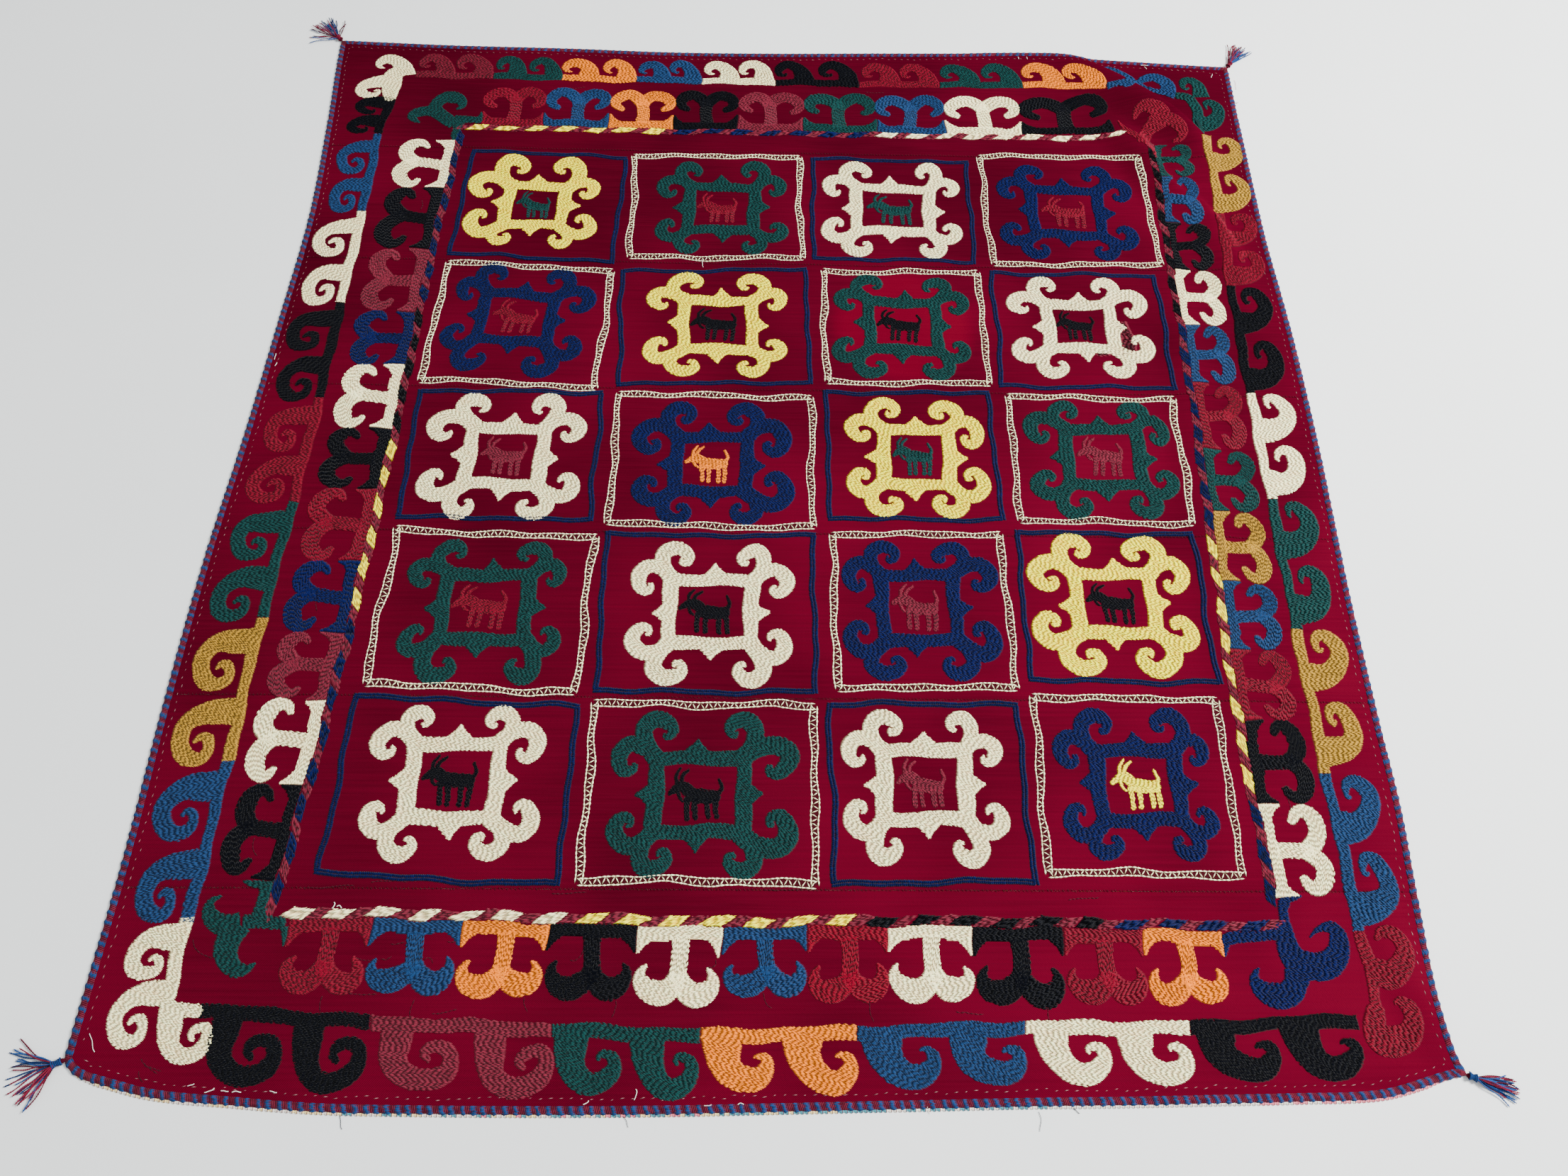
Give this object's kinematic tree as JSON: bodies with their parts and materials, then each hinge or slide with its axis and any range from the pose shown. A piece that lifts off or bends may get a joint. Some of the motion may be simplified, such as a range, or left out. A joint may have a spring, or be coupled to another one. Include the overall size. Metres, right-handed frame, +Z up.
{
  "type": "embroidered wall hanging",
  "caption": "Crimson wool wall hanging of sewn loom strips, embroidered with horned medallions, goats and paired scrolls, with a whipped edge and a tassel at each corner, lying flat.",
  "frame": {"origin": "middle of the box round the cloth and its tassels, on the floor that it lies on", "axes": "+Z up out of the embroidered face, +Y to the top edge, +X to the right as seen from above"},
  "size_m": [1.829, 1.933, 0.029],
  "materials": {
    "crimson_wool": "matte plain-woven wool, dark crimson",
    "printed_cotton": "matte printed cotton",
    "edge_braid": "matte whipped wool in blue and maroon blocks",
    "tassel_yarn": "matte wool yarn, blue and dark red"
  },
  "bodies": {
    "root": {"lining": "printed_cotton", "loom_strip_1": "crimson_wool", "loom_strip_2": "crimson_wool", "loom_strip_3": "crimson_wool", "loom_strip_4": "crimson_wool", "loom_strip_5": "crimson_wool", "loom_strip_6": "crimson_wool", "loom_strip_7": "crimson_wool", "braid_top": "edge_braid", "braid_right": "edge_braid", "braid_bottom": "edge_braid", "braid_left": "edge_braid", "tassel_top_left": "tassel_yarn", "tassel_top_right": "tassel_yarn", "tassel_bottom_right": "tassel_yarn", "tassel_bottom_left": "tassel_yarn"}
  },
  "joints": []
}
